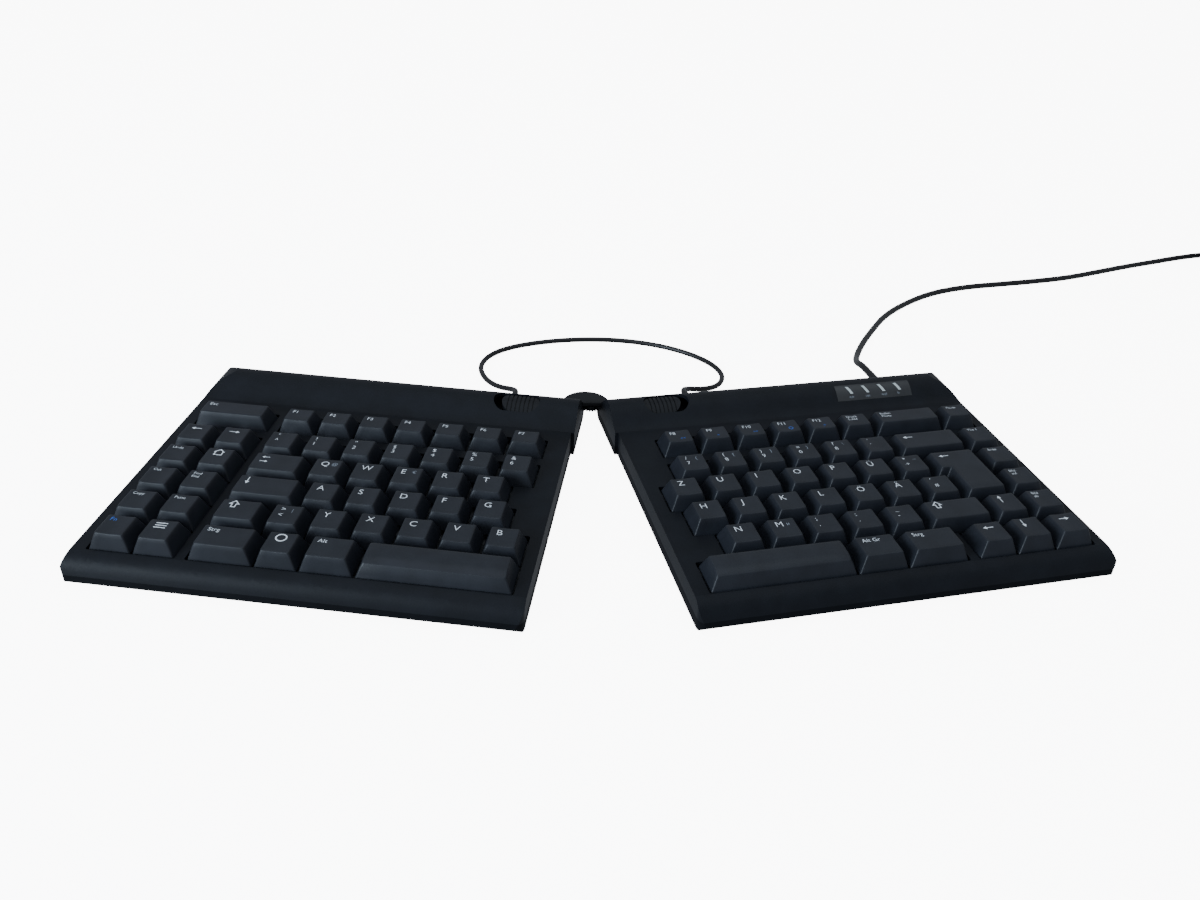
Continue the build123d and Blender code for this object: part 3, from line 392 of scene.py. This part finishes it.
# Keycaps
SKIRT_HEIGHT, TOP_HEIGHT = 12.0, 20.0
SIDE_INSET, FRONT_INSET, REAR_INSET = 3.0, 2.4, 2.8
CAP_WALL, STEM, STEM_BASE = 1.2, 5.8, 7.8
CEILING_DEPTH, STEM_DEPTH, CEILING_SHARE = 2.4, 1.8, 0.85      # the hollow's ceiling and the stem's end
EDGE_ROUND, SKIRT_CORNER, CROWN_CORNER = 0.40, 0.7, 0.9
DISH, WIDE_DISH, SPACE_DROP_FRONT, SPACE_DROP_REAR = 0.30, 0.15, 1.6, 0.3
CORNER_STEPS, SIDE_STEPS, EDGE_STEPS, TOP_RINGS = 4, 6, 3, 5
SIDE_RING_SHARES, SIDE_FOLLOW_SHARE = (0.35, 0.7), 0.4
KEY_PITCH, KEY_GAP, ENTER_NOTCH = 19.0, 1.0, 4.75
WELD, SHARP_ANGLE = 0.001, 50
PRESSES = {joint["child"]: joint["parent"].split("_")[0] for joint in frame["joints"]
           if joint["name"].endswith("_press")}


def key_boxes(node, side):
    """Outlines of a node's separate caps in their module's millimetres, rear row first, then rightwards."""
    back = MODULE[side].inverted()
    work = bmesh.new()
    work.from_mesh(node.data)
    bmesh.ops.remove_doubles(work, verts=work.verts, dist=WELD * MM)
    seen, boxes = set(), []
    for vertex in work.verts:
        if vertex in seen:
            continue
        seen.add(vertex)
        queue, group = [vertex], []
        while queue:
            here = queue.pop()
            group.append(back @ here.co / MM)
            for edge in here.link_edges:
                other = edge.other_vert(here)
                if other not in seen:
                    seen.add(other)
                    queue.append(other)
        xs, ys = [point.x for point in group], [point.y for point in group]
        boxes.append((min(xs), max(xs), min(ys), max(ys)))
    work.free()
    return sorted(boxes, key=lambda box: (-round(box[2] / KEY_PITCH * 2), box[0]))


def cap_corners(box, kind):
    """Base outline of a cap, anticlockwise from its front right corner."""
    x0, x1, y0, y1 = box
    if kind != "enter":
        return [(x1, y0), (x1, y1), (x0, y1), (x0, y0)]
    step_x, step_y = x0 + ENTER_NOTCH, y0 + KEY_PITCH
    return [(x1, y0), (x1, y1), (x0, y1), (x0, step_y), (step_x, step_y), (step_x, y0)]


def outline(corners, insets, radius):
    """Points round a shape with square corners, each side moved in and each corner rounded."""
    left, right, front, rear = insets
    count = len(corners)
    moved = []
    for index, here in enumerate(corners):
        x, y = here
        for a, b in ((corners[index - 1], here), (here, corners[(index + 1) % count])):
            if abs(a[0] - b[0]) < MM:
                x += -right if b[1] > a[1] else left
            else:
                y += front if b[0] > a[0] else -rear
        moved.append(Vector((x, y)))
    points = []
    for index, here in enumerate(moved):
        after = moved[(index + 1) % count]
        come, go = (moved[index - 1] - here).normalized(), (after - here).normalized()
        for step in range(CORNER_STEPS + 1):
            at = math.pi / 2 * step / CORNER_STEPS
            points.append(here + come * radius * (1 - math.sin(at)) + go * radius * (1 - math.cos(at)))
        start, end = here + go * radius, after - go * radius
        for step in range(1, SIDE_STEPS):
            points.append(start.lerp(end, step / SIDE_STEPS))
    return points


class Cap:
    """Shape of one keycap: its outline and the form of its top."""

    def __init__(self, box, kind):
        x0, x1, y0, y1 = box
        self.kind = kind
        self.corners = cap_corners(box, kind)
        self.middle = Vector(((x0 + x1) / 2, (y0 + y1 + FRONT_INSET - REAR_INSET) / 2))
        self.half_width = (x1 - x0) / 2 - SIDE_INSET
        self.half_depth = (y1 - y0 - FRONT_INSET - REAR_INSET) / 2
        self.crown_left = x0 + SIDE_INSET
        self.crown_rear = y1 - REAR_INSET
        self.stem = Vector(((x0 + x1) / 2, y0 + min(y1 - y0, KEY_PITCH - KEY_GAP) / 2))
        if kind == "enter":
            self.stem.x += ENTER_NOTCH / 2
        self.hub = self.middle + Vector((0, self.half_depth / 2 if kind == "enter" else 0))

    def height(self, x, y):
        """Height of the top above the rim."""
        across = min(abs(x - self.middle.x) / self.half_width, 1)
        along = (y - self.middle.y) / self.half_depth
        if self.kind == "space":
            drop = SPACE_DROP_FRONT * max(-along, 0) ** 3 + SPACE_DROP_REAR * max(along, 0) ** 3
            return TOP_HEIGHT - drop
        if self.kind == "key":
            return TOP_HEIGHT - DISH * (1 - across ** 2)
        return TOP_HEIGHT - WIDE_DISH * (1 - across ** 4)


def add_cap(work, cap, place):
    """One keycap: tapered sides, rounded rim, formed top, hollow inside and its stem."""
    rise = TOP_HEIGHT - SKIRT_HEIGHT

    def vertex(x, y, z):
        return work.verts.new(place @ (Vector((x, y, z)) * MM))

    def ring(share, extra, z, corner, follow):
        """Closed row of vertices; follow is the share of the top's form that this row takes on."""
        insets = [value * share + extra for value in (SIDE_INSET, SIDE_INSET, FRONT_INSET, REAR_INSET)]
        points = outline(cap.corners, insets, corner)
        return [vertex(p.x, p.y, z - (TOP_HEIGHT - cap.height(p.x, p.y)) * follow) for p in points]

    rings = [ring(0, 0, SKIRT_HEIGHT, SKIRT_CORNER, 0)]
    for share in SIDE_RING_SHARES:
        rings.append(ring(share, 0, SKIRT_HEIGHT + rise * share, SKIRT_CORNER, SIDE_FOLLOW_SHARE * share))
    low = 1 - EDGE_ROUND / rise
    for step in range(EDGE_STEPS + 1):
        at = math.pi / 2 * step / EDGE_STEPS
        share = low + (1 - low) * math.sin(at)
        top = TOP_HEIGHT - EDGE_ROUND * (1 - math.sin(at))
        rings.append(ring(share, EDGE_ROUND * (1 - math.cos(at)), top, CROWN_CORNER, 1))
    for first, second in zip(rings, rings[1:]):
        bridge(work, first, second)
    insets = [value + EDGE_ROUND for value in (SIDE_INSET, SIDE_INSET, FRONT_INSET, REAR_INSET)]
    edge = outline(cap.corners, insets, CROWN_CORNER)
    last = rings[-1]
    for step in range(1, TOP_RINGS):
        points = [cap.hub + (point - cap.hub) * (1 - step / TOP_RINGS) for point in edge]
        row = [vertex(point.x, point.y, cap.height(point.x, point.y)) for point in points]
        bridge(work, last, row)
        last = row
    hub = vertex(cap.hub.x, cap.hub.y, cap.height(cap.hub.x, cap.hub.y))
    for index, here in enumerate(last):
        work.faces.new((here, last[(index + 1) % len(last)], hub))
    inner = ring(0, CAP_WALL, SKIRT_HEIGHT, SKIRT_CORNER / 2, 0)
    ceiling = ring(CEILING_SHARE, CAP_WALL, TOP_HEIGHT - CEILING_DEPTH, SKIRT_CORNER / 2, 0)
    bridge(work, inner, rings[0])
    bridge(work, ceiling, inner)
    work.faces.new(list(reversed(ceiling)))
    size = Vector((STEM, STEM, TOP_HEIGHT - STEM_DEPTH - STEM_BASE))
    middle = Vector((cap.stem.x, cap.stem.y, STEM_BASE + size.z / 2))
    for corner in bmesh.ops.create_cube(work, size=1)["verts"]:
        corner.co = place @ ((middle + corner.co * size) * MM)


# Lettering
LIFT = 0.05                                    # print above its surface
LETTER_THINNING, LETTER_STEPS = -0.008, 3
LETTER, SYMBOL, WORD, THIRD, SMALL = 3.4, 2.5, 2.2, 2.0, 1.6
WHITE, BLUE, DIM = 1, 2, 3                     # material of a word among its cap's materials
MARGIN_LEFT, MARGIN_REAR = 2.9, 2.0            # a letter's corner from the crown's left and rear edges
PAIR_UPPER, PAIR_LOWER = -0.5, 3.6             # the two signs of a pair, down from there
THIRD_RIGHT, THIRD_BY_LETTER, THIRD_BY_PAIR = 5.0, 0.6, 0.4
WORD_LEFT, WORD_UP = -0.8, -0.4
SECOND_RIGHT, SECOND_DOWN = 3.4, 4.6
SMALL_LEFT, SMALL_UP, SMALL_NEXT = -0.9, -0.6, 1.8
TAB_LOWER = 3.4
ARROWS = {"<up>": 0, "<left>": 90, "<down>": 180, "<right>": -90}
ARROW_SHARES = [(-0.04, -0.5), (0.04, -0.5), (0.04, 0.2), (-0.04, 0.2), (-0.2, 0.14), (0.2, 0.14), (0.0, 0.5)]
ARROW_MIDDLE_SHARES = (0.5, 0.35)
SHIFT_OUTER_SHARES = [
    (0.28, 0), (0.72, 0), (0.72, 0.45), (1.0, 0.45), (0.5, 1.0), (0.0, 0.45), (0.28, 0.45),
]
SHIFT_INNER_SHARES = [
    (0.37, 0.09), (0.63, 0.09), (0.63, 0.54), (0.8, 0.54), (0.5, 0.86), (0.2, 0.54), (0.37, 0.54),
]
HOME_OUTER_SHARES = [(0.1, 0), (0.9, 0), (0.9, 0.5), (1.05, 0.5), (0.5, 1.0), (-0.05, 0.5), (0.1, 0.5)]
HOME_INNER_SHARES = [(0.2, 0.1), (0.8, 0.1), (0.8, 0.58), (0.8, 0.59), (0.5, 0.87), (0.2, 0.59), (0.2, 0.58)]
RING_STEPS, RING_MIDDLE_SHARES, RING_OUTER_SHARE, RING_INNER_SHARE = 24, (0.5, 0.4), 0.5, 0.38
LIST_ROW_SHARES, LIST_LINE_SHARE = (0.0, 0.3, 0.6), 0.1
glyph_store = {}


def text_shape(text):
    """Points and faces of a flat word, as high as its capitals."""
    data = bpy.data.curves.new("lettering", "FONT")
    data.body = text
    data.resolution_u = LETTER_STEPS
    data.offset = LETTER_THINNING
    holder = bpy.data.objects.new("lettering", data)
    mesh = bpy.data.meshes.new_from_object(holder)
    shape = [vertex.co.copy() for vertex in mesh.vertices], [tuple(face.vertices) for face in mesh.polygons]
    bpy.data.objects.remove(holder)
    bpy.data.meshes.remove(mesh)
    return shape


def arrow_shape(turn):
    """Slim arrow in a unit square."""
    spin = Matrix.Rotation(math.radians(turn), 3, "Z")
    middle = Vector((*ARROW_MIDDLE_SHARES, 0))
    return [spin @ Vector((x, y, 0)) + middle for x, y in ARROW_SHARES], [(0, 1, 2, 3), (4, 5, 6)]


def band_shape(outer, inner):
    """Line drawing between two matching closed rows of points."""
    count = len(outer)
    points = [Vector((x, y, 0)) for x, y in outer + inner]
    return points, [(i, (i + 1) % count, count + (i + 1) % count, count + i) for i in range(count)]


def circle(radius):
    x, y = RING_MIDDLE_SHARES
    turns = [2 * math.pi * step / RING_STEPS for step in range(RING_STEPS)]
    return [(x + radius * math.cos(at), y + radius * math.sin(at)) for at in turns]


def list_shape():
    """Three lines, one above the other, as wide as the unit square."""
    points, faces = [], []
    for low in LIST_ROW_SHARES:
        high = low + LIST_LINE_SHARE
        faces.append(tuple(range(len(points), len(points) + 4)))
        points += [Vector((x, y, 0)) for x, y in ((0, low), (1, low), (1, high), (0, high))]
    return points, faces


def drawn_shape(mark):
    """Small generic pictures: hollow arrow, house, ring, list."""
    if mark == "<shift>":
        return band_shape(SHIFT_OUTER_SHARES, SHIFT_INNER_SHARES)
    if mark == "<home>":
        return band_shape(HOME_OUTER_SHARES, HOME_INNER_SHARES)
    if mark == "<ring>":
        return band_shape(circle(RING_OUTER_SHARE), circle(RING_INNER_SHARE))
    return list_shape()


def shape_of(text):
    """Points and faces of a word or a picture, made once each."""
    if text not in glyph_store:
        if text in ARROWS:
            glyph_store[text] = arrow_shape(ARROWS[text])
        elif text.startswith("<") and text.endswith(">") and len(text) > 1:
            glyph_store[text] = drawn_shape(text)
        else:
            glyph_store[text] = text_shape(text)
    return glyph_store[text]


def add_lettering(work, cap, place, text, size, right, down, colour):
    """A mark on a cap, its upper left corner so far right and down from the letters' corner."""
    points, faces = shape_of(text)
    if not points:
        return
    left = min(point.x for point in points)
    scale = size / CAPITAL
    rows = []
    for point in points:
        x = cap.crown_left + MARGIN_LEFT + right + (point.x - left) * scale
        y = cap.crown_rear - MARGIN_REAR - down - size + point.y * scale
        rows.append(work.verts.new(place @ (Vector((x, y, cap.height(x, y) + LIFT)) * MM)))
    for face in faces:
        work.faces.new([rows[index] for index in face]).material_index = colour


CAPITAL = max(point.y for point in shape_of("H")[0])


def letter(text, third=""):
    marks = [(text, LETTER, 0, 0, WHITE)]
    return marks + ([(third, THIRD, THIRD_RIGHT, THIRD_BY_LETTER, DIM)] if third else [])


def pair(upper, lower, third=""):
    marks = [(upper, SYMBOL, 0, PAIR_UPPER, WHITE), (lower, SYMBOL, 0, PAIR_LOWER, WHITE)]
    return marks + ([(third, THIRD, THIRD_RIGHT, THIRD_BY_PAIR, DIM)] if third else [])


def word(text, second="", colour=WHITE):
    marks = [(text, WORD, WORD_LEFT, WORD_UP, colour)]
    return marks + ([(second, SMALL, SECOND_RIGHT, SECOND_DOWN, BLUE)] if second else [])


def small(first, second=""):
    marks = [(first, SMALL, SMALL_LEFT, SMALL_UP, WHITE)]
    return marks + ([(second, SMALL, SMALL_LEFT, SMALL_NEXT, WHITE)] if second else [])


# Marks of each node's caps, rear row first and then rightwards, as key_boxes sorts them
LEGENDS = {
    "hot_keys": [
        letter("<left>"), letter("<right>"), small("Undo"), letter("<home>"), small("Cut"),
        small("Find", "End"), small("Copy"), small("Paste"), word("Fn", colour=BLUE), letter("<list>"),
    ],
    "esc_key": [word("Esc")],
    "function_keys_left": [word(f"F{number}") for number in range(1, 8)],
    "number_keys_left": [
        pair("°", "^"), pair("!", "1"), pair("\"", "2"), pair("§", "3"), pair("$", "4"), pair("%", "5"),
        pair("&", "6"),
    ],
    "tab_key": [[("<left>", SYMBOL, 0, 0, WHITE), ("<right>", SYMBOL, 0, TAB_LOWER, WHITE)]],
    "top_letter_keys_left": [letter("Q", "@"), letter("W"), letter("E", "€"), letter("R"), letter("T")],
    "caps_lock_key": [letter("<down>")],
    "home_letter_keys_left": [letter(text) for text in "ASDFG"],
    "shift_key_left": [letter("<shift>")],
    "bottom_letter_keys_left": [pair(">", "<", "|")] + [letter(text) for text in "YXCVB"],
    "control_key_left": [word("Strg")],
    "menu_key": [letter("<ring>")],
    "alt_key": [word("Alt")],
    "function_keys_right": [
        word("F8", "<<"), word("F9", ">"), word("F10", ">>"), word("F11", "<ring>"), word("F12", "="),
        small("Druck", "S-Abf"),
    ],
    "wide_top_key": [small("Rollen", "Pause")],
    "navigation_keys": [
        small("Pause"), small("Pos 1"), small("Ende"), small("Bild", "auf"), small("Bild", "ab"),
    ],
    "number_keys_right": [
        pair("/", "7", "{"), pair("(", "8", "["), pair(")", "9", "]"), pair("=", "0", "}"),
        pair("?", "ß", "\\"), pair("`", "´"),
    ],
    "backspace_key": [letter("<left>")],
    "top_letter_keys_right": [letter(text) for text in "ZUIOPÜ"] + [pair("*", "+", "~")],
    "enter_key": [letter("<left>")],
    "home_letter_keys_right": [letter(text) for text in "HJKLÖÄ"] + [pair("'", "#")],
    "bottom_letter_keys_right": [
        letter("N"), letter("M", "µ"), pair(";", ","), pair(":", "."), pair("_", "-"),
    ],
    "shift_key_right": [letter("<shift>")],
    "arrow_keys": [letter("<up>"), letter("<left>"), letter("<down>"), letter("<right>")],
    "alt_graph_key": [word("Alt Gr")],
    "control_key_right": [word("Strg")],
}


def caps_mesh(name, side):
    """All caps of one node and their lettering, as one mesh in the caps' four materials."""
    place = MODULE[side]
    kind = "space" if name.startswith("space") else "enter" if name == "enter_key" else "key"
    caps, letters = bmesh.new(), bmesh.new()
    boxes = key_boxes(NODES[name], side)
    for box, marks in zip(boxes, LEGENDS.get(name, [()]), strict=True):
        wide = kind == "key" and box[1] - box[0] > KEY_PITCH
        cap = Cap(box, "wide" if wide else kind)
        add_cap(caps, cap, place)
        for text, size, right, down, colour in marks:
            add_lettering(letters, cap, place, text, size, right, down, colour)
    bmesh.ops.recalc_face_normals(caps, faces=caps.faces)
    for face in caps.faces:
        face.smooth = True
    lettering = bpy.data.meshes.new(name + "_print")
    letters.to_mesh(lettering)
    letters.free()
    caps.from_mesh(lettering)
    bpy.data.meshes.remove(lettering)
    mesh = bpy.data.meshes.new(name + "_caps")
    caps.to_mesh(mesh)
    caps.free()
    mesh.set_sharp_from_angle(angle=math.radians(SHARP_ANGLE))
    for material in (KEYCAP, PRINT, PRINT_BLUE, PRINT_DIM):
        mesh.materials.append(material)
    return mesh


def make_keys():
    """Every CAD key node becomes one piece with its formed caps."""
    for name, side in PRESSES.items():
        piece = bpy.data.objects.new(name + "_caps", caps_mesh(name, side))
        bpy.context.scene.collection.objects.link(piece)
        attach(piece, name)
        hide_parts(name)


make_keys()


# Indicator lights
BAR_COUNT, BAR_START, BAR_PITCH, BAR_WIDTH = 4, 135.0, 9.4, 1.6
BAR_FRONT, BAR_REAR, BAR_SLANT, BAR_STEPS = -29.8, -25.9, 2.2, 6
BAR_WORDS, BAR_WORD_SIZE, BAR_WORD_FRONT = ("num", "caps", "scroll", "fn"), 1.0, -31.6
BAR_WORD_MATERIAL = 1


def make_indicator():
    """Pale slanted bars and their words, laid on the window's face."""
    place = MODULE["right"]
    back = place.inverted()
    face = BVHTree.FromPolygons(
        [back @ vertex.co / MM for vertex in NODES["indicator_window"].data.vertices],
        [tuple(polygon.vertices) for polygon in NODES["indicator_window"].data.polygons],
    )
    work = bmesh.new()

    def laid(x, y):
        """Vertex just above the window's face, found from above."""
        hit = face.ray_cast(Vector((x, y, 2 * TOP_HEIGHT)), Vector((0, 0, -1)))[0]
        return work.verts.new(place @ (Vector((x, y, hit.z + LIFT)) * MM))

    for index in range(BAR_COUNT):
        x = BAR_START + index * BAR_PITCH
        rows = []
        for step in range(BAR_STEPS + 1):
            y = BAR_FRONT + (BAR_REAR - BAR_FRONT) * step / BAR_STEPS
            left = x + BAR_SLANT * (0.5 - step / BAR_STEPS)
            rows.append((laid(left, y), laid(left + BAR_WIDTH, y)))
        for first, second in zip(rows, rows[1:]):
            work.faces.new((first[0], first[1], second[1], second[0]))
        points, faces = shape_of(BAR_WORDS[index])
        scale = BAR_WORD_SIZE / CAPITAL
        corners = [laid(x + point.x * scale, BAR_WORD_FRONT + point.y * scale) for point in points]
        for polygon in faces:
            work.faces.new([corners[corner] for corner in polygon]).material_index = BAR_WORD_MATERIAL
    mesh = bpy.data.meshes.new("indicator_bars")
    work.to_mesh(mesh)
    work.free()
    mesh.materials.append(LIGHT_BAR)
    mesh.materials.append(PRINT_DIM)
    piece = bpy.data.objects.new("indicator_bars", mesh)
    bpy.context.scene.collection.objects.link(piece)
    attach(piece, "right_module")


make_indicator()


# Floor and light
FLOOR = moulded("floor", (0.86, 0.87, 0.88), 0.7, grain=300.0, strength=0.02, spotting=0.01, specular=0.2)
FLOOR_GLOW, FLOOR_REACH = 9.0, 4.0
WORLD_COLOUR, WORLD_STRENGTH = (0.86, 0.92, 1.0), 0.58
LIGHTS = (
    ("overhead_light", (0.0, 0.0, 2.2), (2.6, 2.6), 26, (0.84, 0.92, 1.0)),
    ("window_light", (-1.5, -1.1, 0.7), (1.0, 0.7), 52, (0.74, 0.87, 1.0)),
)


def make_floor():
    """Evenly bright floor, which lights nothing and shows in no reflection."""
    mesh = bpy.data.meshes.new("floor")
    corners = [(x * FLOOR_REACH, y * FLOOR_REACH, 0) for x, y in ((-1, -1), (1, -1), (1, 1), (-1, 1))]
    mesh.from_pydata(corners, [], [(0, 1, 2, 3)])
    floor = bpy.data.objects.new("floor", mesh)
    shader = FLOOR.node_tree.nodes["Principled BSDF"]
    shader.inputs["Emission Color"].default_value = (1, 1, 1, 1)
    shader.inputs["Emission Strength"].default_value = FLOOR_GLOW
    mesh.materials.append(FLOOR)
    floor.visible_diffuse = False
    floor.visible_glossy = False
    bpy.context.scene.collection.objects.link(floor)


def area_light(name, place, size, watts, colour):
    """Soft rectangular light turned to the keyboard."""
    data = bpy.data.lights.new(name, "AREA")
    data.shape = "RECTANGLE"
    data.size, data.size_y = size
    data.energy = watts
    data.color = colour
    light = bpy.data.objects.new(name, data)
    light.location = place
    light.rotation_euler = (-Vector(place)).to_track_quat("-Z", "Y").to_euler()
    bpy.context.scene.collection.objects.link(light)


def make_light():
    """Soft light from above and from the front left, and a dim sky."""
    world = bpy.data.worlds.new("world")
    world.use_nodes = True
    background = world.node_tree.nodes["Background"]
    background.inputs["Color"].default_value = (*WORLD_COLOUR, 1)
    background.inputs["Strength"].default_value = WORLD_STRENGTH
    bpy.context.scene.world = world
    for light in LIGHTS:
        area_light(*light)


make_floor()
make_light()
